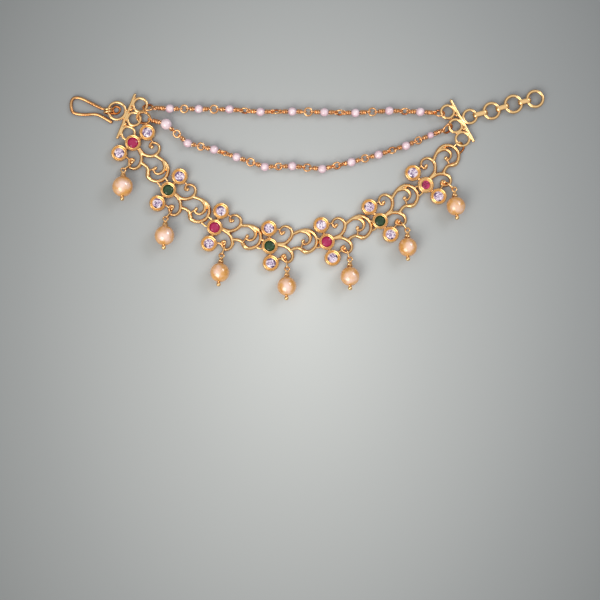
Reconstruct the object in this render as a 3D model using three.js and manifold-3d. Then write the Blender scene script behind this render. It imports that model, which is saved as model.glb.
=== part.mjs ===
// Side head ornament of a pair, worn from the ear to the hair: seven cast scroll panels in a row with a
// pearl drop under each, and two pearl chains above, all held between two end bars. It lies flat.
// Millimetres, +X along the row, +Y up the ornament, +Z up from the surface that it lies on.
import * as THREE from 'three';
import { mergeVertices } from 'three/addons/utils/BufferGeometryUtils.js';
import Module from 'manifold-3d';

const wasm = await Module();
wasm.setup();

// Heights above the surface
const RING_HEIGHT = 1.0;
const SCROLL_BACK = 0.5;

// Scrollwork: cast wire with a flat back and a ridged front
const SCROLL_WIDTH = 0.66;
const SCROLL_DEPTH = 0.78;
const STUB_DEPTH = 0.62;
const STUB_BACK = 0.55;
const KNOB_SWELL = [1.0, 1.5, 1.35];
const END_EYE = { start: 13.0, wire: 0.25, halfWidth: 1.25, insideNextCup: 1.25 };
const LAST_EYE = { reach: 15.5, rise: 0.7 };
const LINK_CLEARANCE = 0.14;
const DEGREES_PER_STEP = 42;

// Stone cups, as outer radius and height, and the stones in them
const CUP = { radius: 2.3, height: 2.0, lip: 0.46, wall: 0.52, floor: 0.36 };
const CENTRE_STONE = { radius: 1.62, table: 0.94, crown: 0.34, pavilion: 0.6, facets: 10, girdleHeight: 1.72 };
const WHITE_STONE = { radius: 1.6, table: 0.93, crown: 0.42, pavilion: 1.0, facets: 8, girdleHeight: 1.66 };
const UPPER_CUP = { u: 0.1, v: 4.95 };
const LOWER_CUP = { u: 0.0, v: -4.8 };

// Drops: the link round the scroll, the eye of the pin, and the pearl on it
const SCROLL_FOOT = { u: 4.45, v: -4.85 };
const DROP_LINK = { halfLength: 1.3, halfHeight: 0.8, wire: 0.18, middle: 0.42 };
const PIN = { eyeRadius: 0.7, eyeWire: 0.19, eyeReach: 1.9, eyeHeight: 1.05, neck: 0.42, stem: 0.2, ball: 0.65 };
const PIN_GAP = 0.08;
const PEARL_REACH = 5.1;
const PEARL_BORE = 0.36;

const RED = 0x9c2458;
const GREEN = 0x2f5a3e;

// Where each panel lies: its centre, the way it points, its stone's colour, and the size and lean of its drop
const PANELS = [
  { x: -48.6, y: 14.2, turn: -53.1, stone: RED, pearl: 5.9, lean: 0 },
  { x: -38.7, y: 1.0, turn: -39.0, stone: GREEN, pearl: 5.7, lean: -2 },
  { x: -25.7, y: -9.5, turn: -19.8, stone: RED, pearl: 5.5, lean: -5 },
  { x: -10.3, y: -14.7, turn: 3.6, stone: GREEN, pearl: 5.5, lean: -1 },
  { x: 5.7, y: -13.5, turn: 19.5, stone: RED, pearl: 5.5, lean: 0 },
  { x: 20.6, y: -7.7, turn: 38.4, stone: GREEN, pearl: 5.4, lean: 0 },
  { x: 33.4, y: 2.4, turn: 48.2, stone: RED, pearl: 5.4, lean: 4 },
];

// The scrolls of one panel, each a run of arcs from where it leaves its neighbour. A turn is to the left.
const SCROLLS = [
  {
    name: 'upper scroll', u: 2.0, v: 0.35, heading: 2, knob: true,
    stretches: [
      { length: 1.75 },
      { radius: 2.9, turn: 88 },
      { radius: 1.8, turn: 90 },
      { radius: 1.4, turn: 80 },
      { radius: 0.85, turn: 80 },
      { length: 0.3 },
    ],
  },
  {
    name: 'lower scroll', u: 3.0, v: 0.25, heading: -12, knob: true,
    stretches: [
      { length: 0.6 },
      { radius: 3.3, turn: -78 },
      { radius: 1.75, turn: -90 },
      { radius: 1.35, turn: -90 },
      { radius: 0.6, turn: -90 },
      { length: 0.3 },
    ],
  },
  {
    name: 'great scroll and wavy band', u: 6.45, v: 2.95, heading: 28, knob: false,
    stretches: [
      { radius: 7.6, turn: -30 },
      { radius: 3.1, turn: -88 },
      { radius: 2.9, turn: -84 },
      { radius: 2.3, turn: -46 },
      { radius: 2.4, turn: 44 },
      { radius: 4.6, turn: 18 },
    ],
  },
  {
    name: 'inner curl', u: 10.0, v: 3.75, heading: -15, knob: true,
    stretches: [
      { radius: 1.9, turn: -75 },
      { length: 0.4 },
      { radius: 1.5, turn: -90 },
      { radius: 0.5, turn: -80 },
      { length: 0.3 },
    ],
  },
];

// Short straight bars that solder one part of a panel to another
const STUBS = [
  { name: 'upper neck', from: [0, 1.9], to: [0.1, 3.0], width: 0.9 },
  { name: 'lower neck', from: [0, -1.9], to: [0, -2.9], width: 0.9 },
  { name: 'upper cup stub', from: [2.2, 4.2], to: [3.4, 4.1], width: 0.6 },
  { name: 'lower cup stub', from: [2.0, -3.7], to: [3.3, -3.65], width: 0.6 },
  { name: 'curl stub', from: [9.35, 0.2], to: [8.8, -1.3], width: 0.5 },
];

// End bars: the bar, its rings by distance along it and out from it, and the granules in the corners
const BAR_LENGTH = 13.1;
const BAR_RADIUS = 0.34;
const RING_WIRE = 0.28;
const GRANULE = { radius: 0.42, out: 0.55, height: 0.1, alongs: [-2.1, 2.2] };
const LEFT_BAR = {
  name: 'left_end_bar', x: -50.55, y: 21.7, turn: -22.3,
  rings: [
    { name: 'low', along: -4.2, out: 2.3, radius: 1.85 },
    { name: 'middle', along: 0.1, out: 2.35, radius: 1.8 },
    { name: 'top', along: 4.4, out: 2.45, radius: 1.9 },
    { name: 'hook', along: 0.4, out: -2.95, radius: 2.4 },
  ],
};
const RIGHT_BAR = {
  name: 'right_end_bar', x: 43.65, y: 20.4, turn: -150.8,
  rings: [
    { name: 'top', along: -4.2, out: 2.35, radius: 1.8 },
    { name: 'middle', along: 0.3, out: 2.35, radius: 1.8 },
    { name: 'low', along: 4.5, out: 2.4, radius: 1.9 },
    { name: 'extender', along: 0.0, out: -2.45, radius: 1.87 },
  ],
};

// Pearl chains: every pearl where it lies, with the tilt of the round link after it, if there is one
const CHAIN_LINK = { radius: 1.1, wire: 0.22 };
const CHAIN_WRAP_RADIUS = 0.4;
const UPPER_CHAIN = {
  name: 'upper_pearl_chain',
  pearls: [
    { x: -38.3, y: 23.8, diameter: 2.4, linkTilt: 8 },
    { x: -30.2, y: 23.7, diameter: 2.4, linkTilt: 12 },
    { x: -21.6, y: 23.6, diameter: 2.4, linkTilt: 58 },
    { x: -12.9, y: 22.9, diameter: 2.4, linkTilt: -60 },
    { x: -4.0, y: 23.0, diameter: 2.4, linkTilt: 10 },
    { x: 5.0, y: 22.8, diameter: 2.4, linkTilt: 60 },
    { x: 13.7, y: 22.6, diameter: 2.4, linkTilt: -10 },
    { x: 23.2, y: 23.2, diameter: 2.4, linkTilt: 50 },
    { x: 31.9, y: 22.9, diameter: 2.4 },
  ],
  start: { x: -44.35, y: 24.1, radius: 1.4, wire: 0.22, tilt: -51 },
  end: { x: 37.25, y: 22.5, radius: 1.35, wire: 0.22, tilt: -51 },
};

// The lower chain is a plain round run of its true course and thickness, with its first and last rings
const LOWER_CHAIN = {
  name: 'lower_pearl_chain',
  radius: 1.0,
  height: 1.2,
  steps: 16,
  course: [
    { x: -43.7, y: 20.9 },
    { x: -39.3, y: 19.2 },
    { x: -33.3, y: 14.4 },
    { x: -25.9, y: 12.2 },
    { x: -19.6, y: 10.2 },
    { x: -11.7, y: 7.7 },
    { x: -4.0, y: 7.2 },
    { x: 4.4, y: 7.2 },
    { x: 12.6, y: 8.8 },
    { x: 20.2, y: 10.9 },
    { x: 27.9, y: 13.4 },
    { x: 34.8, y: 16.2 },
    { x: 38.3, y: 17.7 },
  ],
  start: { x: -45.6, y: 21.2, radius: 1.85, wire: 0.25, tilt: 36, slope: 10, heading: 0 },
  end: { x: 39.55, y: 18.2, radius: 1.45, wire: 0.24, tilt: 50, slope: -26, heading: 20 },
};

// Extender: loose round rings joined by loops of flat strip, on past the ring of the right end bar
const STRIP = { width: 1.3, thickness: 0.3, gap: 0.26, halfHeight: 0.95 };
const EXTENDER_WIRE = 0.33;
const EXTENDER_RINGS = [
  { x: 51.9, y: 23.2, radius: 2.15 },
  { x: 58.0, y: 25.1, radius: 2.35 },
  { x: 64.1, y: 26.7, radius: 2.32 },
];

// Hook: a coil of two turns round the hook ring, and the wire's bends from there to its flicked tip
const HOOK_WIRE = 0.3;
const HOOK_COIL = { x: -55.55, y: 23.2, radius: 1.06, turns: 2, pitch: 0.7, stepsPerTurn: 8 };
const HOOK_TIP_RADIUS = 0.34;
const HOOK_STEPS = 40;
const HOOK_BENDS = [
  { x: -57.4, y: 23.9, z: 0.5 },
  { x: -60.2, y: 25.3, z: 0.45 },
  { x: -63.4, y: 26.8, z: 0.4 },
  { x: -65.4, y: 26.7, z: 0.4 },
  { x: -66.3, y: 24.9, z: 0.4 },
  { x: -65.4, y: 22.8, z: 0.4 },
  { x: -62.6, y: 22.2, z: 0.4 },
  { x: -59.2, y: 22.3, z: 0.4 },
  { x: -57.0, y: 21.4, z: 0.4 },
  { x: -54.8, y: 20.1, z: 0.4 },
];

const radians = THREE.MathUtils.degToRad;

const GOLD = new THREE.MeshStandardMaterial({ color: 0xd9a055, roughness: 0.28, metalness: 1 });
const PEARL = new THREE.MeshStandardMaterial({ color: 0xe9c7a4, roughness: 0.25, metalness: 0 });
const CHAIN = new THREE.MeshStandardMaterial({ color: 0xd8b0a0, roughness: 0.3, metalness: 0.4 });
const WHITE = new THREE.MeshStandardMaterial({ color: 0xe4dcee, roughness: 0.05, metalness: 0 });

// Joining and cutting

// A closed solid of a geometry, with its shared corners merged, thin leftovers dropped and faces turned out
function solidOf(geometry) {
  geometry.deleteAttribute('normal');
  geometry.deleteAttribute('uv');
  const merged = mergeVertices(geometry, 1e-4);
  const corners = merged.index.array;
  const positions = merged.attributes.position.array;
  const faces = [];
  let sixVolumes = 0;
  for (let i = 0; i < corners.length; i += 3) {
    const [a, b, c] = [corners[i], corners[i + 1], corners[i + 2]];
    if (a === b || b === c || c === a) continue;
    faces.push([a, b, c]);
    const [pa, pb, pc] = [a, b, c].map((k) => new THREE.Vector3().fromArray(positions, 3 * k));
    sixVolumes += pa.dot(pb.cross(pc));
  }
  if (sixVolumes < 0) faces.forEach((face) => face.reverse());
  return new wasm.Manifold(new wasm.Mesh({
    numProp: 3,
    vertProperties: Float32Array.from(positions),
    triVerts: Uint32Array.from(faces.flat()),
  }));
}

function joined(geometries) {
  return geometries.map(solidOf).reduce((whole, part) => whole.add(part));
}

function meshOf(name, solid, material) {
  const { vertProperties, triVerts } = solid.getMesh();
  const geometry = new THREE.BufferGeometry();
  geometry.setAttribute('position', new THREE.BufferAttribute(vertProperties, 3));
  geometry.setIndex(new THREE.BufferAttribute(triVerts, 1));
  geometry.computeVertexNormals();
  const mesh = new THREE.Mesh(geometry, material);
  mesh.name = name;
  return mesh;
}

// Wires and rings

// A path of straight runs and arcs that follow on smoothly, with more steps where it bends more
class ScrollPath extends THREE.Curve {
  constructor({ u, v, z = SCROLL_BACK, heading, stretches }) {
    super();
    this.legs = [];
    let place = new THREE.Vector3(u, v, z);
    let angle = radians(heading);
    this.steps = 0;
    for (const stretch of stretches) {
      const turn = radians(stretch.turn ?? 0);
      const steps = Math.max(1, Math.round(Math.abs(stretch.turn ?? 0) / DEGREES_PER_STEP));
      const leg = { ...stretch, turn, place, angle, rise: stretch.rise ?? 0, first: this.steps, steps };
      this.legs.push(leg);
      this.steps += steps;
      place = this.along(leg, 1);
      angle += turn;
    }
  }

  along(leg, share) {
    const place = leg.place.clone();
    place.z += leg.rise * share;
    if (!leg.turn) {
      place.x += leg.length * share * Math.cos(leg.angle);
      place.y += leg.length * share * Math.sin(leg.angle);
      return place;
    }
    const radius = leg.radius * Math.sign(leg.turn);
    const angle = leg.angle + leg.turn * share;
    place.x += radius * (Math.sin(angle) - Math.sin(leg.angle));
    place.y -= radius * (Math.cos(angle) - Math.cos(leg.angle));
    return place;
  }

  getPoint(t, target = new THREE.Vector3()) {
    const step = t * this.steps;
    const leg = this.legs.findLast((each) => each.first <= step) ?? this.legs[0];
    return target.copy(this.along(leg, Math.min(1, (step - leg.first) / leg.steps)));
  }

  getUtoTmapping(u) {
    return u;
  }
}

// A smooth path through bends, sampled at even steps
function bentPath(bends, steps) {
  const path = new THREE.CatmullRomCurve3(bends.map(({ x, y, z }) => new THREE.Vector3(x, y, z)));
  path.steps = steps;
  return path;
}

// The section of cast wire: on a flat path its first number points down, so its front is at minus the depth
function castSection(width, depth) {
  return new THREE.Shape([
    new THREE.Vector2(0, -width / 2),
    new THREE.Vector2(0, width / 2),
    new THREE.Vector2(-depth, 0.3 * width),
    new THREE.Vector2(-depth, -0.3 * width),
  ]);
}

function roundSection(radius, sides = 5) {
  const corners = Array.from({ length: sides }, (_, i) => (2 * Math.PI * i) / sides);
  return new THREE.Shape(corners.map((a) => new THREE.Vector2(radius * Math.cos(a), radius * Math.sin(a))));
}

function wireAlong(path, section) {
  return new THREE.ExtrudeGeometry(section, { extrudePath: path, steps: path.steps, bevelEnabled: false });
}

// A round ring lying flat
function ring(radius, wire, sides = 12) {
  return new THREE.TorusGeometry(radius, wire, 5, sides);
}

// A ring tilted about its heading, with a slope along it, standing on the surface if no height is given
function leaningRing({ x, y, z, radius, wire, tilt, slope = 0, heading }) {
  const geometry = ring(radius, wire, 10);
  geometry.rotateX(radians(tilt));
  geometry.rotateY(radians(-slope));
  geometry.rotateZ(radians(heading));
  geometry.computeBoundingBox();
  geometry.translate(x, y, z ?? -geometry.boundingBox.min.z);
  geometry.computeBoundingBox();
  return geometry;
}

function ball(x, y, z, radius) {
  return new THREE.SphereGeometry(radius, 6, 3).rotateX(Math.PI / 2).translate(x, y, z);
}

// A solid of revolution about Z, from a profile of radii and heights
function turned(profile, sides) {
  const points = profile.map(([radius, height]) => new THREE.Vector2(radius, height));
  return new THREE.LatheGeometry(points, sides).rotateX(Math.PI / 2);
}

// Scroll panels

// The open cup of a stone: a closed flat back, a straight wall, and a lip that leans in over the stone
function cup(u, v) {
  const { radius, height, lip, wall, floor } = CUP;
  return turned([
    [0, 0],
    [radius, 0],
    [radius, height - lip],
    [radius - lip, height],
    [radius - wall, floor],
    [0, floor],
  ], 12).translate(u, v, 0);
}

// The eye that reaches into the next cup. The last panel's is twisted, to pass over and under a flat ring.
function endEye({ reach, twisted, clearance = 0 }) {
  const { start, wire, halfWidth } = END_EYE;
  const length = reach - halfWidth - start;
  const rise = twisted ? LAST_EYE.rise : 0;
  const path = new ScrollPath({
    u: start, v: halfWidth, z: RING_HEIGHT, heading: 0,
    stretches: [
      { length, rise },
      { radius: halfWidth, turn: -45 },
      { radius: halfWidth, turn: -50, rise: -2 * rise },
      { radius: halfWidth, turn: -85 },
      { length, rise },
    ],
  });
  return wireAlong(path, roundSection(wire + clearance));
}

// The wire of a scroll, swollen to a knob at its free end by widening its last sections
function scrollWire(scroll) {
  const path = new ScrollPath(scroll);
  const geometry = wireAlong(path, castSection(SCROLL_WIDTH, SCROLL_DEPTH));
  if (!scroll.knob) return geometry;
  const stations = path.getSpacedPoints(path.steps);
  const swells = stations.map((_, i) => KNOB_SWELL[i - (stations.length - KNOB_SWELL.length)] ?? 1);
  const positions = geometry.attributes.position;
  const corner = new THREE.Vector3();
  for (let i = 0; i < positions.count; i += 1) {
    corner.fromBufferAttribute(positions, i);
    const gaps = stations.map((station) => Math.hypot(station.x - corner.x, station.y - corner.y));
    const nearest = gaps.indexOf(Math.min(...gaps));
    corner.sub(stations[nearest]).multiplyScalar(swells[nearest]).add(stations[nearest]);
    positions.setXYZ(i, corner.x, corner.y, corner.z);
  }
  return geometry;
}

function stub({ from, to, width }) {
  const [du, dv] = [to[0] - from[0], to[1] - from[1]];
  const geometry = new THREE.BoxGeometry(Math.hypot(du, dv), width, STUB_DEPTH);
  geometry.rotateZ(Math.atan2(dv, du));
  return geometry.translate((from[0] + to[0]) / 2, (from[1] + to[1]) / 2, STUB_BACK + STUB_DEPTH / 2);
}

function panelSolid(eye, passing) {
  const centreCup = solidOf(cup(0, 0)).subtract(solidOf(passing));
  return centreCup.add(joined([
    cup(UPPER_CUP.u, UPPER_CUP.v),
    cup(LOWER_CUP.u, LOWER_CUP.v),
    ...STUBS.map(stub),
    ...SCROLLS.map(scrollWire),
    endEye(eye),
  ]));
}

// A cut stone: a point below, a girdle, and a flat table
function stoneMesh(name, { radius, table, crown, pavilion, facets, girdleHeight }, u, v, material) {
  const geometry = turned([[0, -pavilion], [radius, 0], [table, crown], [0, crown]], facets);
  const mesh = meshOf(name, solidOf(geometry), material);
  mesh.position.set(u, v, girdleHeight);
  return mesh;
}

// Drops

// A link stretched to a long round-ended shape, standing on edge across the foot of the lower scroll
function dropLink() {
  const { halfLength, halfHeight, wire } = DROP_LINK;
  const geometry = ring(halfHeight, wire, 10).rotateX(Math.PI / 2).rotateZ(Math.PI / 2);
  const positions = geometry.attributes.position;
  const stretch = halfLength - halfHeight;
  for (let i = 0; i < positions.count; i += 1) {
    positions.setY(i, positions.getY(i) + stretch * Math.sign(Math.round(1e4 * positions.getY(i))));
  }
  return geometry;
}

// The pin of a drop, from its eye down to its ball end, along -Y
function dropPin(pearlRadius) {
  const { eyeRadius, eyeWire, stem, neck, ball } = PIN;
  const ballTop = PEARL_REACH + pearlRadius + PIN_GAP;
  const neckEnd = PEARL_REACH - pearlRadius - PIN_GAP;
  const profile = [
    [0, -(ballTop + 2.1 * ball)],
    [ball, -(ballTop + 1.55 * ball)],
    [ball, -(ballTop + 0.55 * ball)],
    [stem, -ballTop],
    [stem, -neckEnd],
    [neck, -(neckEnd - 0.05)],
    [0, -(eyeRadius - 0.05)],
  ];
  const pin = new THREE.LatheGeometry(profile.map(([r, y]) => new THREE.Vector2(r, y)), 5);
  return joined([pin, ring(eyeRadius, eyeWire, 8)]);
}

// A pearl drilled through along Y
function drilledPearl(radius) {
  const rows = 5;
  const start = Math.asin(PEARL_BORE / radius);
  const points = [];
  for (let row = 0; row <= rows; row += 1) {
    const angle = start + ((Math.PI - 2 * start) * row) / rows;
    points.push(new THREE.Vector2(radius * Math.sin(angle), -radius * Math.cos(angle)));
  }
  points.push(points[0].clone());
  return new THREE.LatheGeometry(points, 11);
}

function dropGroup(number, { pearl, lean, turn }) {
  const radius = pearl / 2;
  const group = new THREE.Group();
  group.position.set(SCROLL_FOOT.u, SCROLL_FOOT.v - PIN.eyeReach, PIN.eyeHeight);
  group.rotation.order = 'ZYX';
  group.rotation.z = radians(lean - turn);
  group.rotation.x = -Math.asin((radius - PIN.eyeHeight) / PEARL_REACH);
  const bead = meshOf(`drop_pearl_${number}`, solidOf(drilledPearl(radius)), PEARL);
  bead.position.y = -PEARL_REACH;
  group.add(meshOf(`drop_pin_${number}`, dropPin(radius), GOLD), bead);
  return group;
}

function panelGroup(number, place, eye, passing) {
  const group = new THREE.Group();
  group.position.set(place.x, place.y, 0);
  group.rotation.z = radians(place.turn);
  group.updateMatrixWorld();
  const stone = new THREE.MeshStandardMaterial({ color: place.stone, roughness: 0.12, metalness: 0 });
  const link = meshOf(`drop_ring_${number}`, solidOf(dropLink()), GOLD);
  link.position.set(SCROLL_FOOT.u, SCROLL_FOOT.v - DROP_LINK.middle, DROP_LINK.halfHeight + DROP_LINK.wire);
  passing.applyMatrix4(group.matrixWorld.clone().invert());
  group.add(
    meshOf(`scroll_panel_${number}`, panelSolid(eye, passing), GOLD),
    stoneMesh(`centre_stone_${number}`, CENTRE_STONE, 0, 0, stone),
    stoneMesh(`white_stone_${number}_upper`, WHITE_STONE, UPPER_CUP.u, UPPER_CUP.v, WHITE),
    stoneMesh(`white_stone_${number}_lower`, WHITE_STONE, LOWER_CUP.u, LOWER_CUP.v, WHITE),
    link,
    dropGroup(number, place),
  );
  return group;
}

// End bars

function barMesh({ name, rings, x, y, turn }) {
  const parts = [new THREE.CylinderGeometry(BAR_RADIUS, BAR_RADIUS, BAR_LENGTH, 8)];
  for (const each of rings) {
    parts.push(ring(each.radius, RING_WIRE, 10).translate(each.out, each.along, 0));
  }
  for (const along of GRANULE.alongs) {
    parts.push(ball(GRANULE.out, along, GRANULE.height, GRANULE.radius));
  }
  const mesh = meshOf(name, joined(parts), GOLD);
  mesh.position.set(x, y, RING_HEIGHT);
  mesh.rotation.z = radians(turn);
  return mesh;
}

// The ring of that name, thickened, where it lies in the whole ornament
function barRing({ rings, x, y, turn }, name, wire) {
  const { radius, out, along } = rings.find((each) => each.name === name);
  const geometry = ring(radius, wire, 10).translate(out, along, 0);
  return geometry.rotateZ(radians(turn)).translate(x, y, RING_HEIGHT);
}

// Pearl chains

// A pearl with its wire tapering away at both ends, from a point on one link's rim to one on the next
function wiredPearl(before, centre, after, radius) {
  const geometry = turned([
    [0, -2 * radius],
    [CHAIN_WRAP_RADIUS, -0.95 * radius],
    [0.75 * radius, -0.66 * radius],
    [radius, 0],
    [0.75 * radius, 0.66 * radius],
    [CHAIN_WRAP_RADIUS, 0.95 * radius],
    [0, 2 * radius],
  ], 10);
  const direction = new THREE.Vector3().subVectors(after, before).normalize();
  const turn = new THREE.Quaternion().setFromUnitVectors(new THREE.Vector3(0, 0, 1), direction);
  const tips = [before, after].map((tip) => tip.clone().sub(centre).applyQuaternion(turn.clone().invert()));
  const positions = geometry.attributes.position;
  for (let i = 0; i < positions.count; i += 1) {
    if (Math.hypot(positions.getX(i), positions.getY(i)) > 1e-6) continue;
    const tip = tips[positions.getZ(i) < 0 ? 0 : 1];
    positions.setXYZ(i, tip.x, tip.y, tip.z);
  }
  return geometry.applyQuaternion(turn).translate(centre.x, centre.y, centre.z);
}

function headingOf(from, to) {
  return THREE.MathUtils.radToDeg(Math.atan2(to.y - from.y, to.x - from.x));
}

function upperChainMesh({ name, pearls, start, end }) {
  const centres = pearls.map(({ x, y, diameter }) => new THREE.Vector3(x, y, diameter / 2));
  const links = pearls.slice(0, -1).map(({ linkTilt }, i) => {
    const [a, b] = [centres[i], centres[i + 1]];
    const middle = new THREE.Vector3().addVectors(a, b).multiplyScalar(0.5);
    return { x: middle.x, y: middle.y, z: middle.z, ...CHAIN_LINK, tilt: linkTilt, heading: headingOf(a, b) };
  });
  const rings = [
    { ...start, heading: headingOf(start, centres[0]) },
    ...links,
    { ...end, heading: headingOf(centres.at(-1), end) },
  ].map((each) => ({ ...each, geometry: leaningRing(each) }));
  const rimTowards = (centre, { x, y, radius, geometry }) => {
    const hub = new THREE.Vector3(x, y, geometry.boundingBox.getCenter(new THREE.Vector3()).z);
    const out = new THREE.Vector3(centre.x - x, centre.y - y, 0).setLength(radius);
    return hub.add(out);
  };
  const wired = pearls.map(({ diameter }, i) => {
    const [before, after] = [rings[i], rings[i + 1]].map((each) => rimTowards(centres[i], each));
    return wiredPearl(before, centres[i], after, diameter / 2);
  });
  return meshOf(name, joined([...rings.map(({ geometry }) => geometry), ...wired]), CHAIN);
}

function lowerChainMesh({ name, radius, height, steps, course, start, end }) {
  const bends = course.map(({ x, y }) => ({ x, y, z: height }));
  const run = wireAlong(bentPath(bends, steps), roundSection(radius, 8));
  return meshOf(name, joined([run, leaningRing(start), leaningRing(end)]), CHAIN);
}

// Extender

// A loop of flat strip that holds the wires of two neighbouring rings
function stripLink(number, first, second) {
  const between = new THREE.Vector2(second.x - first.x, second.y - first.y);
  const spacing = between.length() - first.radius - second.radius;
  const inner = STRIP.halfHeight - STRIP.thickness;
  const straight = (spacing + 2 * (EXTENDER_WIRE + STRIP.gap) - 2 * inner) / 2;
  const outline = (Path, radius) => {
    const path = new Path();
    path.absarc(straight, 0, radius, -Math.PI / 2, Math.PI / 2, false);
    path.absarc(-straight, 0, radius, Math.PI / 2, (3 * Math.PI) / 2, false);
    return path;
  };
  const shape = outline(THREE.Shape, STRIP.halfHeight);
  shape.holes.push(outline(THREE.Path, inner));
  const settings = { depth: STRIP.width, bevelEnabled: false, curveSegments: 3 };
  const geometry = new THREE.ExtrudeGeometry(shape, settings);
  geometry.translate(0, 0, -STRIP.width / 2).rotateX(Math.PI / 2);
  const mesh = meshOf(`extender_link_${number}`, solidOf(geometry), GOLD);
  const reach = (first.radius + spacing / 2) / between.length();
  mesh.position.set(first.x + between.x * reach, first.y + between.y * reach, RING_HEIGHT);
  mesh.rotation.z = between.angle();
  return mesh;
}

function extender(firstRing) {
  const group = new THREE.Group();
  const rings = [firstRing, ...EXTENDER_RINGS];
  EXTENDER_RINGS.forEach(({ x, y, radius }, i) => {
    const mesh = meshOf(`extender_ring_${i + 1}`, solidOf(ring(radius, EXTENDER_WIRE, 10)), GOLD);
    mesh.position.set(x, y, RING_HEIGHT);
    group.add(mesh, stripLink(i + 1, rings[i], rings[i + 1]));
  });
  return group;
}

// Hook

function hookMesh() {
  const { x, y, radius, turns, pitch, stepsPerTurn } = HOOK_COIL;
  const coil = Array.from({ length: turns * stepsPerTurn + 1 }, (_, i) => {
    const angle = -Math.PI / 2 - (2 * Math.PI * i) / stepsPerTurn;
    return {
      x: x + radius * Math.cos(angle),
      y: y + pitch * (i / stepsPerTurn - turns / 2),
      z: radius + HOOK_WIRE + radius * Math.sin(angle),
    };
  });
  const tip = HOOK_BENDS.at(-1);
  return meshOf('hook', joined([
    wireAlong(bentPath([...coil, ...HOOK_BENDS], HOOK_STEPS), roundSection(HOOK_WIRE)),
    ball(tip.x, tip.y, tip.z, HOOK_TIP_RADIUS),
  ]), GOLD);
}

// The whole ornament, set with the middle of its underside at the origin

const ornament = new THREE.Group();
let passing = barRing(LEFT_BAR, 'low', RING_WIRE + LINK_CLEARANCE);
PANELS.forEach((place, i) => {
  const next = PANELS[i + 1];
  const reach = next
    ? Math.hypot(next.x - place.x, next.y - place.y) - END_EYE.insideNextCup
    : LAST_EYE.reach;
  const panel = panelGroup(i + 1, place, { reach, twisted: !next }, passing);
  passing = endEye({ reach, twisted: false, clearance: LINK_CLEARANCE }).applyMatrix4(panel.matrixWorld);
  ornament.add(panel);
});
ornament.add(barMesh(LEFT_BAR), barMesh(RIGHT_BAR), upperChainMesh(UPPER_CHAIN));
ornament.add(lowerChainMesh(LOWER_CHAIN), hookMesh());
const outerRing = RIGHT_BAR.rings.find((each) => each.name === 'extender');
const outerPlace = new THREE.Vector2(outerRing.out, outerRing.along)
  .rotateAround(new THREE.Vector2(), radians(RIGHT_BAR.turn));
ornament.add(extender({
  x: RIGHT_BAR.x + outerPlace.x,
  y: RIGHT_BAR.y + outerPlace.y,
  radius: outerRing.radius,
}));

const box = new THREE.Box3().setFromObject(ornament, true);
const middle = box.getCenter(new THREE.Vector3());
ornament.position.set(-middle.x, -middle.y, -box.min.z);

export default ornament;
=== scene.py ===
import math
import random

import bpy
import numpy as np
from mathutils import Matrix, Vector


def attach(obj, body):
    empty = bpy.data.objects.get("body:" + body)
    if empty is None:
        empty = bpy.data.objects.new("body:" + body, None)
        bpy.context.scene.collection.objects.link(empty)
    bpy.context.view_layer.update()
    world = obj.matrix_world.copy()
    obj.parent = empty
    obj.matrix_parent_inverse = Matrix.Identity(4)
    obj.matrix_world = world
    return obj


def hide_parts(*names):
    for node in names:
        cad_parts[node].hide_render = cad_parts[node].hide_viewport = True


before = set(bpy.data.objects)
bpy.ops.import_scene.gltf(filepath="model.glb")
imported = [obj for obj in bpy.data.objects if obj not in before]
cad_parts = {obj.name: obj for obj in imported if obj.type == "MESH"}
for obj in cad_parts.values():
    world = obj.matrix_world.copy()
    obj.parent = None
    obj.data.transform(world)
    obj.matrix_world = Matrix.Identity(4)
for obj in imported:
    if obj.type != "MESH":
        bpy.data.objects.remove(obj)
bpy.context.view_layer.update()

# The surface that the ornament lies on: smooth grey studio card with a painted pool of light, a little
# lighter in the middle. It is lit by two large soft panels, the stronger one at the lower left, inside a pale
# tent, and the camera looks straight down from well above it. All sizes here are in millimetres.
MM = 0.001
VIEW_WIDTH = 168.0
VIEW_MIDDLE = (-1.93, -29.47)
LENS, SENSOR = 100.0, 36.0
VIEW_PLANE_HEIGHT = 1.5
FAR_CLIP = 10000
CARD_HALF, CARD_DROP = 1600, 0.02
# Painted pool of light on the card: its colour by distance from the middle, out to the reach.
CARD_LIGHT_POOL_SHADES = ((0.0, "CED2D2"), (0.4, "B0B4B5"), (0.75, "94989A"), (1.0, "808486"))
LIGHT_POOL_REACH, LIGHT_POOL_STRETCH = 140, (1.35, 1, 1)
PANEL_LIGHTS = {
    "key_lower_left": {"place": (-330, -420, 520), "size": (500, 500), "power": 3.0, "colour": "FFFAF2"},
    "fill_upper_right": {"place": (420, 330, 430), "size": (300, 200), "power": 1.0, "colour": "F8F8FF"},
}
TENT_SHADES = ((0.0, "6A6056"), (0.35, "9C968E"), (0.7, "E0E0DE"), (1.0, "FCFCFA"))
TENT_STRENGTH = 0.92

scene = bpy.context.scene


def placed(name, data):
    """A new object in the scene."""
    thing = bpy.data.objects.new(name, data)
    scene.collection.objects.link(thing)
    return thing


camera = placed("camera", bpy.data.cameras.new("camera"))
camera.data.lens = LENS
camera.data.sensor_width = SENSOR
camera.data.clip_end = FAR_CLIP * MM
camera_height = VIEW_WIDTH * LENS / SENSOR + VIEW_PLANE_HEIGHT
camera.location = Vector((*VIEW_MIDDLE, camera_height)) * MM
scene.camera = camera


def linear(colour):
    """The linear colour, with alpha, of a colour given as in a picture file, such as "D9A055"."""
    parts = [int(colour[i:i + 2], 16) / 255 for i in (0, 2, 4)]
    return (*[p / 12.92 if p <= 0.04045 else ((p + 0.055) / 1.055) ** 2.4 for p in parts], 1.0)


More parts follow.
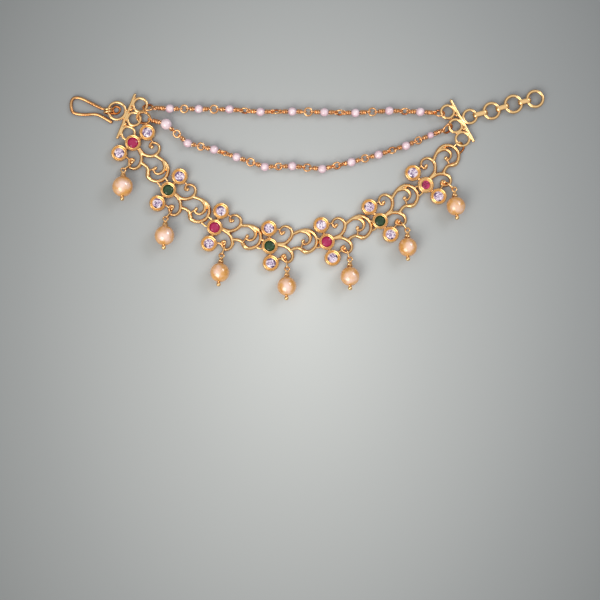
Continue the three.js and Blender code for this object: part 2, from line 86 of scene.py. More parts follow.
def add_node(tree, kind, links=(), **values):
    """Adds a node, sets its own values, and feeds its inputs, each from a socket or a plain value."""
    node = tree.nodes.new(kind)
    for key, value in values.items():
        setattr(node, key, value)
    for key, value in dict(links).items():
        if isinstance(value, bpy.types.NodeSocket):
            tree.links.new(value, node.inputs[key])
        else:
            node.inputs[key].default_value = value
    return node


def reckoned(tree, operation, first, second):
    """The result of one step of arithmetic."""
    return add_node(tree, "ShaderNodeMath", {0: first, 1: second}, operation=operation).outputs["Value"]


def ramp_of(tree, factor, *stops):
    """The colour at that factor on a ramp with stops given as (place, colour)."""
    node = add_node(tree, "ShaderNodeValToRGB", {"Fac": factor})
    while len(node.color_ramp.elements) < len(stops):
        node.color_ramp.elements.new(1.0)
    for element, (place, colour) in zip(node.color_ramp.elements, stops):
        element.position = place
        element.color = linear(colour)
    return node.outputs["Color"]


def new_material(name, **sockets):
    """A material with its shader's plain values set on the shader's own sockets."""
    material = bpy.data.materials.new(name)
    material.use_nodes = True
    shader = material.node_tree.nodes["Principled BSDF"]
    for key, value in sockets.items():
        shader.inputs[key.replace("_", " ")].default_value = value
    return material, material.node_tree, shader


def lay_card():
    """The card, with a painted pool of light: lighter in a soft oval round the middle of the view, darker
    outwards.
    """
    half = CARD_HALF * MM
    mesh = bpy.data.meshes.new("surface")
    corners = [(-half, -half, 0), (half, -half, 0), (half, half, 0), (-half, half, 0)]
    mesh.from_pydata(corners, [], [(0, 1, 2, 3)])
    card = placed("surface", mesh)
    card.location = Vector((*VIEW_MIDDLE, -CARD_DROP)) * MM
    material, tree, shader = new_material("grey_card", Roughness=0.7)
    place = add_node(tree, "ShaderNodeTexCoord").outputs["Object"]
    oval = add_node(tree, "ShaderNodeVectorMath", {0: place, 1: LIGHT_POOL_STRETCH}, operation="MULTIPLY")
    away = add_node(tree, "ShaderNodeVectorMath", {0: oval.outputs["Vector"]}, operation="LENGTH")
    share = reckoned(tree, "DIVIDE", away.outputs["Value"], LIGHT_POOL_REACH * MM)
    tree.links.new(ramp_of(tree, share, *CARD_LIGHT_POOL_SHADES), shader.inputs["Base Color"])
    mesh.materials.append(material)


def add_panel_light(name, place, size, power, colour):
    """A soft rectangular panel, aimed at the middle of the view."""
    light = bpy.data.lights.new(name, "AREA")
    light.shape = "RECTANGLE"
    light.size, light.size_y = size[0] * MM, size[1] * MM
    light.energy = power
    light.color = linear(colour)[:3]
    lamp = placed(name, light)
    lamp.location = (Vector((*VIEW_MIDDLE, 0)) + Vector(place)) * MM
    aim = Vector((*VIEW_MIDDLE, 0)) * MM - lamp.location
    lamp.rotation_euler = aim.to_track_quat("-Z", "Y").to_euler()


lay_card()
for name, panel in PANEL_LIGHTS.items():
    add_panel_light(name, **panel)
world = bpy.data.worlds.new("studio")
world.use_nodes = True
tent = world.node_tree
towards = add_node(tent, "ShaderNodeTexCoord").outputs["Generated"]
height = add_node(tent, "ShaderNodeSeparateXYZ", {0: towards}).outputs["Z"]
tent.links.new(ramp_of(tent, height, *TENT_SHADES), tent.nodes["Background"].inputs["Color"])
tent.nodes["Background"].inputs["Strength"].default_value = TENT_STRENGTH
scene.world = world
scene.view_settings.view_transform = "Standard"

# The seven cast panels: each is one gold-plated casting of scrolls, three stone cups and a flat loop at its
# end. The scrolls are soldered where they touch, and the loop goes through two windows in the next panel's
# centre cup. The first panel's cup has windows for the lowest ring of the left end bar.
ROW = Matrix.Translation((-0.1132, 0.3495, 0))
# Places are x, y and a turn in degrees, and bar rings are how far out, how far along and the radius.
PANEL_PLACES = (
    (-48.6, 14.2, -53.1), (-38.7, 1.0, -39.0), (-25.7, -9.5, -19.8), (-10.3, -14.7, 3.6),
    (5.7, -13.5, 19.5), (20.6, -7.7, 38.4), (33.4, 2.4, 48.2),
)
LEFT_BAR_PLACE = (-50.55, 21.7, -22.3)
LEFT_LOW_RING = (2.3, -4.2, 1.85)
UPPER_CUP, LOWER_CUP = (0.1, 4.95), (0.0, -4.8)
CUP_RADIUS, CUP_HEIGHT = 2.3, 2.0
CENTRE_LIP, LAST_LIP, SIDE_LIP = 1.46, 1.15, 1.37
CUP_WOBBLE, WOBBLE_FROM = 0.008, 0.6
LOOP_HEIGHT, LOOP_WIRE, LOOP_START, LOOP_HALF = 1.0, 0.29, 12.95, 1.25
LAST_LOOP_REACH, LAST_LOOP_RISE = 15.5, 0.7
LOOP_TWIST = {"from": 20, "over": 25, "legs": 0.6}
RING_WIRE_IN_WINDOW, WINDOW_CLEARANCE = 0.28, 0.14
SCROLL_BACK, SCROLL_WIDTH, SCROLL_DEPTH = 0.5, 1.06, 0.88
SCROLL_VOXEL, SCROLL_FACES_KEPT = 0.1, 0.4
KNOB_HEIGHT = 0.42
CURL_THINNING = {"from": 0.45, "over": 0.35, "by": 0.3}
LEAF = {"u": 9.7, "v": -2.1, "reach": 0.9, "swell": 0.35}
SCROLL_LINES = {
    "upper_scroll": (
        (1.9, 0.38), (2.54, 0.40), (3.41, 0.40), (4.29, 0.49), (5.16, 0.98), (5.90, 1.72), (6.39, 2.59),
        (6.48, 3.47), (6.21, 4.34), (5.69, 4.95), (4.90, 5.30), (4.15, 5.24), (3.5, 4.85), (3.16, 4.3),
        (3.17, 3.6), (3.5, 3.12), (3.95, 3.12),
    ),
    "lower_scroll": (
        (1.9, 0.2), (2.54, 0.14), (3.41, -0.07), (4.29, -0.33), (5.16, -1.0), (5.90, -1.96), (6.21, -2.92),
        (6.04, -3.89), (5.48, -4.55), (4.73, -4.83), (4.03, -4.50), (3.36, -3.92), (3.14, -3.3),
        (3.4, -2.84), (3.9, -2.7), (4.3, -2.95),
    ),
    "great_scroll": (
        (6.2, 2.5), (6.70, 2.95), (7.79, 3.38), (9.01, 3.75), (10.24, 3.88), (11.46, 3.61), (12.34, 2.94),
        (12.95, 2.07), (13.25, 1.02), (13.13, -0.12), (12.65, -1.09), (11.90, -1.79), (11.03, -2.22),
        (10.06, -2.31), (9.19, -1.79), (8.40, -1.2), (7.61, -1.03), (6.74, -1.17), (5.8, -1.55),
    ),
    "inner_curl": (
        (8.9, 3.72), (9.5, 3.55), (10.41, 3.20), (11.11, 2.59), (11.46, 1.63), (11.29, 0.67), (10.68, 0.05),
        (9.9, -0.1), (9.3, 0.15), (9.2, 0.6),
    ),
}
KNOBS = (
    {"u": 4.08, "v": 3.5, "radius": 0.55},
    {"u": 4.12, "v": -3.42, "radius": 0.5},
    {"u": 9.4, "v": 0.8, "radius": 0.56},
)
SOLDERED_BARS = (
    {"start": (0, 1.9), "end": (0.1, 3.0), "breadth": 1.25},
    {"start": (0, -1.9), "end": (0, -2.9), "breadth": 1.25},
    {"start": (2.1, 4.6), "end": (3.1, 4.5), "breadth": 0.7},
    {"start": (1.9, -3.8), "end": (3.15, -3.7), "breadth": 0.8},
    {"start": (9.25, 0.3), "end": (8.75, -1.3), "breadth": 0.75},
)
SOLDERED_WIDTH, SOLDERED_DEPTH = 0.8, 0.75
DENT_DEPTH = 0.05
# Painted shade and light on the plate: deepest and reddest up to the first height, palest from the second.
PAINTED_SHADE_HEIGHT, PAINTED_LIGHT_HEIGHT = 0.55, 1.35
STEEP = 0.9


def smooth_line(points, spacing=0.12, closed=False):
    """Points set evenly along a smooth curve through the given ones."""
    points = np.array(points, float)
    if points.shape[1] == 2:
        points = np.column_stack([points, np.zeros(len(points))])
    if closed:
        padded = np.vstack([points[-1:], points, points[:2]])
    else:
        padded = np.vstack([2 * points[:1] - points[1:2], points, 2 * points[-1:] - points[-2:-1]])
    steps_per_span = 16
    t = np.linspace(0, 1, steps_per_span, endpoint=False)[:, None]
    spans = []
    for a, b, c, d in zip(padded, padded[1:], padded[2:], padded[3:]):
        square, cube = 2 * a - 5 * b + 4 * c - d, 3 * b - a - 3 * c + d
        spans.append(0.5 * (2 * b + (c - a) * t + square * t**2 + cube * t**3))
    line = np.vstack([*spans, points[:1] if closed else points[-1:]])
    along = np.concatenate([[0], np.cumsum(np.linalg.norm(np.diff(line, axis=0), axis=1))])
    steps = max(4, round(along[-1] / spacing))
    even = np.linspace(0, along[-1], steps + 1)
    line = np.column_stack([np.interp(even, along, line[:, k]) for k in range(3)])
    return line[:-1] if closed else line


def swept(line, section, closed=False, flat=False, swell=None):
    """A section carried along a line, with closed ends. The section's columns are to the side and up."""
    line = np.array(line, float)
    section = np.array(section, float)
    swell = np.ones(len(line)) if swell is None else np.array(swell, float)
    if closed:
        tangents = np.roll(line, -1, 0) - np.roll(line, 1, 0)
    else:
        tangents = np.gradient(line, axis=0)
    tangents /= np.linalg.norm(tangents, axis=1)[:, None]
    upright = np.array([0, 0, 1.0])
    up = upright if flat or abs(tangents[0][2]) < STEEP else np.array([0, 1.0, 0])
    ups = []
    for tangent in tangents:
        up = upright if flat else up - tangent * (up @ tangent)
        up = up / np.linalg.norm(up)
        ups.append(up)
    ups = np.array(ups)
    sides = np.cross(tangents, ups)
    rings = line[:, None] + swell[:, None, None] * (
        sides[:, None] * section[None, :, :1] + ups[:, None] * section[None, :, 1:]
    )
    corners = rings.reshape(-1, 3)
    count = len(section)
    faces = []
    for i in range(len(line) if closed else len(line) - 1):
        here, there = i * count, ((i + 1) % len(line)) * count
        for k in range(count):
            after = (k + 1) % count
            faces.append((here + k, there + k, there + after, here + after))
    if not closed:
        last = (len(line) - 1) * count
        corners = np.vstack([corners, rings[0].mean(0), rings[-1].mean(0)])
        for k in range(count):
            after = (k + 1) % count
            faces.append((k, after, len(corners) - 2))
            faces.append((last + after, last + k, len(corners) - 1))
    return corners, faces


def round_section(radius, sides=10):
    angles = np.arange(sides) * 2 * np.pi / sides
    return np.column_stack([radius * np.cos(angles), radius * np.sin(angles)])


def turned(profile, sides=56, wobble=0.0, phase=0.0):
    """A shape turned about Z from radii and heights. A wobble makes its top a little out of round."""
    profile = np.array(profile, float)
    angles = np.arange(sides) * 2 * np.pi / sides
    corners, rows = [], []
    top = profile[:, 1].max()
    for radius, height in profile:
        rows.append((len(corners), 1 if radius == 0 else sides))
        if radius == 0:
            corners.append((0, 0, height))
            continue
        share = wobble * max(0.0, height / top - WOBBLE_FROM) / (1 - WOBBLE_FROM) if top > 0 else 0.0
        for angle in angles:
            r = radius * (1 + share * (math.sin(2 * angle + phase) + 0.6 * math.sin(5 * angle - 2 * phase)))
            corners.append((r * math.cos(angle), r * math.sin(angle), height))
    faces = []
    for (a, many_a), (b, many_b) in zip(rows, rows[1:]):
        for k in range(sides):
            after = (k + 1) % sides
            if many_a > 1 and many_b > 1:
                faces.append((a + k, a + after, b + after, b + k))
            elif many_b > 1:
                faces.append((a, b + after, b + k))
            elif many_a > 1:
                faces.append((a + k, a + after, b))
    return np.array(corners), faces


def ball(place, radius, sides=16):
    heights = np.linspace(-np.pi / 2, np.pi / 2, sides // 2 + 1)[1:-1]
    middle = [(radius * math.cos(h), radius * math.sin(h)) for h in heights]
    corners, faces = turned([(0, -radius), *middle, (0, radius)], sides)
    return corners + np.array(place), faces


def moved(shape, place):
    corners, faces = shape
    turn = np.array(place.to_3x3())
    return np.asarray(corners) @ turn.T + np.array(place.translation), faces


def gathered(shapes):
    """Several closed shapes as one list of corners and one of faces."""
    corners, faces, count = [], [], 0
    for shape_corners, shape_faces in shapes:
        corners.append(np.asarray(shape_corners, float))
        faces.extend(tuple(count + k for k in face) for face in shape_faces)
        count += len(shape_corners)
    return np.vstack(corners), faces


def mesh_of(name, shape):
    corners, faces = shape
    mesh = bpy.data.meshes.new(name)
    mesh.from_pydata(np.asarray(corners).tolist(), [], faces)
    mesh.validate()
    return mesh


def on_bench(name, shape):
    """An object of a shape or a mesh, to be worked on in millimetres."""
    return placed(name, shape if isinstance(shape, bpy.types.Mesh) else mesh_of(name, shape))


def worked(name, shape, *steps):
    """A shape's mesh after Blender's modifiers. Each step is a modifier's kind and its settings."""
    thing = on_bench(name, shape)
    bench = [thing]
    for kind, settings in steps:
        modifier = thing.modifiers.new(kind.lower(), kind)
        for key, value in settings.items():
            if key == "object":
                value = on_bench("other", value)
                bench.append(value)
            setattr(modifier, key, value)
    bpy.context.view_layer.update()
    result = bpy.data.meshes.new_from_object(thing.evaluated_get(bpy.context.evaluated_depsgraph_get()))
    for used in bench:
        bpy.data.objects.remove(used)
    return result


def fused(voxel, faces_kept):
    """The steps that fuse shapes and soften their joins, as casting and solder do."""
    return (
        ("REMESH", {"mode": "VOXEL", "voxel_size": voxel}),
        ("SMOOTH", {"factor": 0.5, "iterations": 4}),
        ("DECIMATE", {"ratio": faces_kept}),
    )


def joined_to(shape):
    return ("BOOLEAN", {"operation": "UNION", "solver": "MANIFOLD", "object": shape})


def cut_by(shape):
    return ("BOOLEAN", {"operation": "DIFFERENCE", "solver": "MANIFOLD", "object": shape})


def finished(name, mesh, material, nodes, place, smooth=38):
    """Makes a piece of the ornament: in metres, smooth up to that angle, and standing for its nodes."""
    mesh.transform(Matrix.Scale(MM, 4) @ place)
    mesh.materials.clear()
    mesh.materials.append(material)
    if smooth:
        mesh.shade_smooth()
        mesh.set_sharp_from_angle(angle=math.radians(smooth))
    else:
        mesh.shade_flat()
    mesh.name = name
    piece = placed(name, mesh)
    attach(piece, "root")
    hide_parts(*nodes)


def skin_group(name, inputs, outputs):
    """A node group with named sockets, with its tree, what it is given, and where its results go."""
    tree = bpy.data.node_groups.new(name, "ShaderNodeTree")
    for socket, kind in inputs.items():
        tree.interface.new_socket(socket, in_out="INPUT", socket_type=kind)
    for socket in outputs:
        tree.interface.new_socket(socket, in_out="OUTPUT", socket_type="NodeSocketFloat")
    return tree, tree.nodes.new("NodeGroupInput").outputs, tree.nodes.new("NodeGroupOutput").inputs


def mottle(tree, place, scale, detail):
    """Soft unevenness at that scale, from 0 to 1."""
    links = {"Vector": place, "Scale": scale, "Detail": detail}
    return add_node(tree, "ShaderNodeTexNoise", links).outputs["Fac"]


def metal_skin():
    """The skin of plated metal: broad uneven tone, the unevenness of polishing by hand, and fine grain."""
    inputs = {"Position": "NodeSocketVector", "Grain": "NodeSocketFloat"}
    tree, given, results = skin_group("metal_skin", inputs, ("Tone", "Polish", "Height"))
    ripple = mottle(tree, given["Position"], scale=1300.0, detail=2.0)
    fine = mottle(tree, given["Position"], scale=7000.0, detail=2.0)
    grain = reckoned(tree, "MULTIPLY", fine, given["Grain"])
    broad = mottle(tree, given["Position"], scale=420.0, detail=3.0)
    tree.links.new(broad, results["Tone"])
    tree.links.new(ripple, results["Polish"])
    tree.links.new(reckoned(tree, "ADD", ripple, grain), results["Height"])
    return tree


METAL_SKIN = metal_skin()


def dented(tree, shader, height, strength):
    links = {"Height": height, "Strength": strength, "Distance": DENT_DEPTH * MM}
    tree.links.new(add_node(tree, "ShaderNodeBump", links).outputs["Normal"], shader.inputs["Normal"])


def plated_metal(name, deep, pale, rough, grain, bump):
    """Gold plate with painted shade and light: deeper and redder low down near the surface, paler on top."""
    material, tree, shader = new_material(name, Metallic=1.0)
    place = add_node(tree, "ShaderNodeNewGeometry").outputs["Position"]
    skin = add_node(tree, "ShaderNodeGroup", node_tree=METAL_SKIN)
    tree.links.new(place, skin.inputs["Position"])
    skin.inputs["Grain"].default_value = grain
    # Painted shade and light: deeper low down and paler high up, added to the random broad tone.
    painted_height_shade = add_node(tree, "ShaderNodeMapRange", {
        "Value": add_node(tree, "ShaderNodeSeparateXYZ", {0: place}).outputs["Z"],
        "From Min": PAINTED_SHADE_HEIGHT * MM, "From Max": PAINTED_LIGHT_HEIGHT * MM,
    })
    tone = reckoned(tree, "ADD", painted_height_shade.outputs["Result"], skin.outputs["Tone"])
    colour = ramp_of(tree, reckoned(tree, "MULTIPLY", tone, 0.5), (0.2, deep), (0.75, pale))
    tree.links.new(colour, shader.inputs["Base Color"])
    worn = add_node(tree, "ShaderNodeMapRange", {
        "Value": skin.outputs["Polish"], "From Min": 0.3, "From Max": 0.7,
        "To Min": rough[0], "To Max": rough[1],
    })
    tree.links.new(worn.outputs["Result"], shader.inputs["Roughness"])
    dented(tree, shader, skin.outputs["Height"], strength=bump)
    return material


CAST_GOLD = plated_metal(
    "cast_gold_plate", deep="BA6828", pale="FBD094", rough=(0.13, 0.24), grain=0.2, bump=0.14,
)


def cast_section(width, depth):
    """The section of the cast wire: a flat back, upright sides and a domed front."""
    right = ((0.5, 0.12), (0.46, 0.42), (0.36, 0.7), (0.19, 0.92))
    left = [(-a, b) for a, b in reversed(right)]
    return [(width * a, depth * b) for a, b in ((-0.46, 0.0), (0.46, 0.0), *right, (0, 1.0), *left)]


def at_height(line, height):
    line = np.array(line)
    line[:, 2] += height
    return line


def scroll_swell(name, line):
    """How thick a scroll is along its line. The curls thin out, and the great scroll has a leaf."""
    if name == "great_scroll":
        away = np.hypot(line[:, 0] - LEAF["u"], line[:, 1] - LEAF["v"])
        return 1 + LEAF["swell"] * np.exp(-(away / LEAF["reach"]) ** 2)
    along = np.linspace(0, 1, len(line))
    thinned = np.clip((along - CURL_THINNING["from"]) / CURL_THINNING["over"], 0, 1)
    return 1.0 - CURL_THINNING["by"] * thinned


def scrollwork():
    """The scrolls of one panel, fused and softened as a casting is."""
    shapes = []
    for name, points in SCROLL_LINES.items():
        line = at_height(smooth_line(points), SCROLL_BACK)
        section = cast_section(SCROLL_WIDTH, SCROLL_DEPTH)
        shapes.append(swept(line, section, flat=True, swell=scroll_swell(name, line)))
    for knob in KNOBS:
        shapes.append(ball((knob["u"], knob["v"], SCROLL_BACK + KNOB_HEIGHT), knob["radius"]))
    for bar in SOLDERED_BARS:
        line = at_height(smooth_line([bar["start"], bar["end"]]), SCROLL_BACK)
        section = cast_section(bar["breadth"] * SOLDERED_WIDTH, SOLDERED_DEPTH * SCROLL_DEPTH)
        shapes.append(swept(line, section, flat=True))
    return worked("scrollwork", gathered(shapes), *fused(SCROLL_VOXEL, SCROLL_FACES_KEPT))


def stone_cup(lip, phase):
    """A cup with a closed flat back, and a grooved rim that is rubbed in over the stone."""
    edge = CUP_RADIUS
    outside = [(0, 0), (edge - 0.1, 0), (edge - 0.02, 0.06), (edge, 0.2), (edge, 1.5)]
    bead = [(edge - 0.02, 1.75), (edge - 0.1, 1.92), (edge - 0.22, CUP_HEIGHT), (edge - 0.34, 1.98)]
    groove = [(edge - 0.44, 1.89), (edge - 0.49, 1.72), (lip + 0.38, 1.68)]
    rim = [(lip + 0.3, 1.83), (lip + 0.17, 1.9), (lip + 0.07, 1.87), (lip, 1.76)]
    under_rim = [(lip + 0.01, 1.67), (lip + 0.05, 1.62)]
    inside = [(1.7, 1.46), (1.72, 1.3), (1.72, 0.4), (1.6, 0.36), (0, 0.36)]
    profile = outside + bead + groove + rim + under_rim + inside
    return turned(profile, wobble=CUP_WOBBLE, phase=phase)


def end_loop(reach, wire, rise=0.0):
    """The flat loop at a panel's end. The last one is twisted, so it passes over and under a flat ring."""
    degrees = np.linspace(90, -90, 13)
    bend = np.radians(degrees)
    arc = [(reach - LOOP_HALF + LOOP_HALF * math.cos(a), LOOP_HALF * math.sin(a)) for a in bend]
    halfway = (LOOP_START + arc[0][0]) / 2
    leg_rise = LOOP_TWIST["legs"] * rise
    points = [(LOOP_START, LOOP_HALF, 0), (halfway, LOOP_HALF, leg_rise)]
    for (u, v), angle in zip(arc, degrees):
        share = (angle - LOOP_TWIST["from"]) / LOOP_TWIST["over"]
        points.append((u, v, rise * float(np.clip(share, -1, 1))))
    points += [(halfway, -LOOP_HALF, -leg_rise), (LOOP_START, -LOOP_HALF, 0)]
    return swept(at_height(smooth_line(points), LOOP_HEIGHT), round_section(wire, 12))


def ring_shape(radius, wire, sides=48, section_sides=12):
    angles = np.arange(sides) * 2 * np.pi / sides
    line = np.column_stack([radius * np.cos(angles), radius * np.sin(angles), 0 * angles])
    return swept(line, round_section(wire, section_sides), closed=True, flat=True)


def flat_place(x, y, turn, z=0.0):
    return ROW @ Matrix.Translation((x, y, z)) @ Matrix.Rotation(math.radians(turn), 4, "Z")


def cup_at(centre, lip, phase):
    return moved(stone_cup(lip, phase), Matrix.Translation((*centre, 0)))


SCROLLWORK = scrollwork()
LAST_PANEL = len(PANEL_PLACES)
out, along, radius = LEFT_LOW_RING
ring_place = flat_place(*LEFT_BAR_PLACE) @ Matrix.Translation((out, along, LOOP_HEIGHT))
passing = moved(ring_shape(radius, RING_WIRE_IN_WINDOW + WINDOW_CLEARANCE), ring_place)
for number, panel_place in enumerate(PANEL_PLACES, start=1):
    place = flat_place(*panel_place)
    lip = LAST_LIP if number == LAST_PANEL else CENTRE_LIP
    centre_cup = worked("centre_cup", stone_cup(lip, number), cut_by(moved(passing, place.inverted())))
    if number < LAST_PANEL:
        reach = math.dist(panel_place[:2], PANEL_PLACES[number][:2]) - LOOP_HALF
        loop = end_loop(reach, LOOP_WIRE)
        passing = moved(end_loop(reach, LOOP_WIRE + WINDOW_CLEARANCE), place)
    else:
        loop = end_loop(LAST_LOOP_REACH, LOOP_WIRE, LAST_LOOP_RISE)
    casting = worked(
        "casting", SCROLLWORK.copy(), joined_to(centre_cup),
        joined_to(cup_at(UPPER_CUP, SIDE_LIP, number + 2.0)),
        joined_to(cup_at(LOWER_CUP, SIDE_LIP, number + 4.0)),
        joined_to(loop),
    )
    finished(f"casting_{number}", casting, CAST_GOLD, [f"scroll_panel_{number}"], place)

# The stones: seven dark red and green ones in the centre cups, in turn, and fourteen colourless brilliants.
# All are glass cut with a table, star, kite and girdle facets, and held by the rims rubbed over them. Their
# facets carry painted reflections, dark and light. The last panel's centre stone sits a little lower, and its
# facets show more: their painted reflections are darker and lighter.
STONE_RADIUS = 1.6
GIRDLE_DEPTH, KITE_HEIGHT = 0.07, 0.52
LOWER_FACETS = {"out": 0.3, "down": 0.72}
DARK_REFLECTION_SHARE = 0.4
ANY_TURN = 6.28
# Reflection tones are the ranges of the painted reflections on the dark and the light facets.
CUTS = {
    "white": {"table": 0.56, "crown": 0.45, "pavilion": 0.95, "reflection_tones": ((0.0, 0.36), (0.6, 1.0))},
    "centre": {"table": 0.62, "crown": 0.42, "pavilion": 0.55, "reflection_tones": ((0.35, 0.45), (0.45, 0.6))},
    "last_centre": {"table": 0.62, "crown": 0.42, "pavilion": 0.55, "reflection_tones": ((0.0, 0.15), (0.3, 1.0))},
}
SEAT_HEIGHTS = {"white": 1.44, "centre": 1.48, "last_centre": 1.4}


def brilliant(radius, table, crown, pavilion, reflection_tones, seed):
    """A round brilliant. Each facet has a painted reflection, and the table shows those of the facets under
    it.
    """
    draw = random.Random(seed)

    def ring(share, height, count, shift=0.0):
        angles = (np.arange(count) + shift) * 2 * np.pi / count
        return [(radius * share * math.cos(a), radius * share * math.sin(a), height) for a in angles]

    corners = [(0, 0, crown)] + ring(0.5 * table, crown, 16)
    rim = len(corners)
    edge = ring(table, crown, 8)
    halfway = ring(table * math.cos(math.pi / 8), crown, 8, 0.5)
    corners += [point for pair in zip(edge, halfway) for point in pair]
    kite = len(corners)
    corners += ring(0.5 * (1 + table), KITE_HEIGHT * crown, 8, 0.5)
    girdle = len(corners)
    corners += ring(1.0, 0.0, 16)
    under = len(corners)
    corners += ring(1.0, -GIRDLE_DEPTH, 16)
    low = len(corners)
    corners += ring(LOWER_FACETS["out"], -LOWER_FACETS["down"] * pavilion, 8, 0.5)
    tip = len(corners)
    corners.append((0, 0, -pavilion))
    faces = []
    for j in range(16):
        after = (j + 1) % 16
        faces.append((0, 1 + j, 1 + after))
        if j % 2:
            faces += [(1 + j, rim + j, rim + after), (1 + j, rim + after, 1 + after)]
        else:
            faces += [(1 + j, rim + j, 1 + after), (rim + j, rim + after, 1 + after)]
        faces.append((girdle + j, under + j, under + after, girdle + after))
    for k in range(8):
        a, b, before = 2 * k, (2 * k + 2) % 16, (k - 1) % 8
        faces.append((rim + a, kite + k, rim + b, rim + a + 1))
        faces.append((rim + a, kite + before, girdle + a, kite + k))
        faces += [(kite + k, girdle + a, girdle + a + 1), (kite + k, girdle + a + 1, girdle + b)]
        faces.append((tip, low + k, under + a, low + before))
        faces += [(low + k, under + a + 1, under + a), (low + k, under + b, under + a + 1)]
    dark, light = reflection_tones
    # Each facet's painted reflection: dark on a share of the facets, light on the rest.
    values = []
    for _ in faces:
        values.append(draw.uniform(*(dark if draw.random() < DARK_REFLECTION_SHARE else light)))
    return (np.array(corners), faces), values


def cut_glass(name, shades, **sockets):
    """Glass whose facets each have their own painted reflection, clouded at random, under a clear polish."""
    material, tree, shader = new_material(name, Coat_Roughness=0.02, **sockets)
    tone = add_node(tree, "ShaderNodeAttribute", attribute_name="painted_facet_reflection").outputs["Fac"]
    place = add_node(tree, "ShaderNodeTexCoord").outputs["Object"]
    cloud = reckoned(tree, "SUBTRACT", mottle(tree, place, scale=900.0, detail=2.0), 0.5)
    mixed = reckoned(tree, "ADD", tone, reckoned(tree, "MULTIPLY", cloud, 0.5))
    tree.links.new(ramp_of(tree, mixed, *shades), shader.inputs["Base Color"])
    return material


# The ramps run from the painted dark reflections to the painted light ones.
WHITE_GLASS = cut_glass(
    "white_brilliant", ((0.0, "4E3C66"), (0.35, "9678A8"), (0.65, "DCC4E0"), (1.0, "FFF8FF")),
    Roughness=0.1, IOR=1.6, Coat_Weight=0.6,
)
RED_GLASS = cut_glass(
    "red_stone", ((0.0, "640A30"), (0.5, "AC1652"), (1.0, "CC3C7C")),
    Roughness=0.22, IOR=1.45, Coat_Weight=0.25,
)
GREEN_GLASS = cut_glass(
    "green_stone", ((0.0, "0A1A0C"), (0.5, "1E4022"), (1.0, "527C52")),
    Roughness=0.22, IOR=1.45, Coat_Weight=0.25,
)


def set_stone(name, node, material, cut, cup, seed):
    """A stone in a cup, which is given as its panel's place and the cup's centre in it."""
    shape, values = brilliant(STONE_RADIUS, **CUTS[cut], seed=seed)
    mesh = mesh_of(name, shape)
    tone = mesh.attributes.new("painted_facet_reflection", "FLOAT", "FACE")
    tone.data.foreach_set("value", np.array(values, np.float32))
    panel, centre = cup
    seat = panel @ Matrix.Translation((*centre, SEAT_HEIGHTS[cut]))
    spun = seat @ Matrix.Rotation(random.Random(seed).uniform(0, ANY_TURN), 4, "Z")
    finished(name, mesh, material, [node], spun, smooth=0)


for number, panel_place in enumerate(PANEL_PLACES, start=1):
    place = flat_place(*panel_place)
    colour, glass = ("red", RED_GLASS) if number % 2 else ("green", GREEN_GLASS)
    set_stone(
        f"{colour}_stone_{number}", f"centre_stone_{number}", glass,
        "last_centre" if number == LAST_PANEL else "centre", (place, (0, 0)), number,
    )
    for side, centre in (("upper", UPPER_CUP), ("lower", LOWER_CUP)):
        set_stone(
            f"brilliant_{number}_{side}", f"white_stone_{number}_{side}", WHITE_GLASS,
            "white", (place, centre), 10 * number + (side == "upper"),
        )

# The drops: a long link stands on edge round the foot of each lower scroll, and holds the eye of a pin. The
# pin's wire is wrapped three times under its eye, goes through a drilled golden pearl, and ends in a ball.
# Each drop is its pearl's diameter and the pin's lean in degrees.
DROPS = ((5.9, 0), (5.7, -2), (5.5, -5), (5.5, -1), (5.5, 0), (5.4, 0), (5.4, 4))
FOOT_U, FOOT_V = 4.45, -4.85
DROP_LINK = {"half_length": 1.28, "half_height": 0.78, "wire": 0.21, "middle": 0.42}
EYE_RADIUS, EYE_WIRE, EYE_REACH, EYE_HEIGHT = 0.65, 0.235, 1.9, 1.05
STEM = {"wire": 0.18, "into_eye": 0.05, "past_pearl": 0.3}
WRAP = {"wire": 0.19, "radii": (0.32, 0.8), "turns": 3.2}
WRAP_BELOW_EYE, WRAP_ON_PEARL = 0.12, 0.02
PIN_BALL, PIN_BALL_REACH = 0.64, 0.76
COLLAR_REACH = 0.03
COLLAR_PROFILE = ((0, 0), (0.4, 0), (0.48, 0.08), (0.4, 0.17), (0, 0.2))
PEARL_REACH, PEARL_BORE, PEARL_EASE, PEARL_ROUGH = 5.1, 0.34, 0.01, 0.006
COIL_STEPS, COIL_TIP, COIL_TAPER_STEPS = 14, 0.45, 5
DIMPLES_PER_CLOUD = 3.5
PEARL_WAVES, LONGEST_WAVE, SHORTEST_WAVE = 4, 0.4, 1.1
NACRE_STOPS = (0.12, 0.5, 0.9)


def long_link():
    """A link with straight sides and round ends, standing on edge along Y."""
    half_height = DROP_LINK["half_height"]
    straight = DROP_LINK["half_length"] - half_height
    bend = np.radians(np.linspace(-90, 90, 13))
    far = [(0, straight + half_height * math.cos(a), half_height * math.sin(a)) for a in bend]
    near = [(0, -y, -z) for _, y, z in far]
    return swept(smooth_line(far + near, closed=True), round_section(DROP_LINK["wire"]), closed=True)


def coil(start, end, radii, wire, turns):
    """A wire wound round the line from start to end, from the first radius to the second."""
    start, end = np.array(start, float), np.array(end, float)
    axis = (end - start) / np.linalg.norm(end - start)
    across = np.cross(axis, (0, 0, 1) if abs(axis[2]) < STEEP else (1, 0, 0))
    across /= np.linalg.norm(across)
    over = np.cross(axis, across)
    steps = max(6, round(turns * COIL_STEPS))
    share = np.linspace(0, 1, steps + 1)[:, None]
    angle = share * turns * 2 * np.pi
    radius = radii[0] + (radii[1] - radii[0]) * share
    line = start + (end - start) * share + radius * (np.cos(angle) * across + np.sin(angle) * over)
    from_start = np.arange(steps + 1)
    from_end = np.minimum(from_start, from_start[::-1])
    taper = np.clip(COIL_TIP + from_end / COIL_TAPER_STEPS, 0, 1)
    return swept(line, round_section(wire, 8), swell=taper)


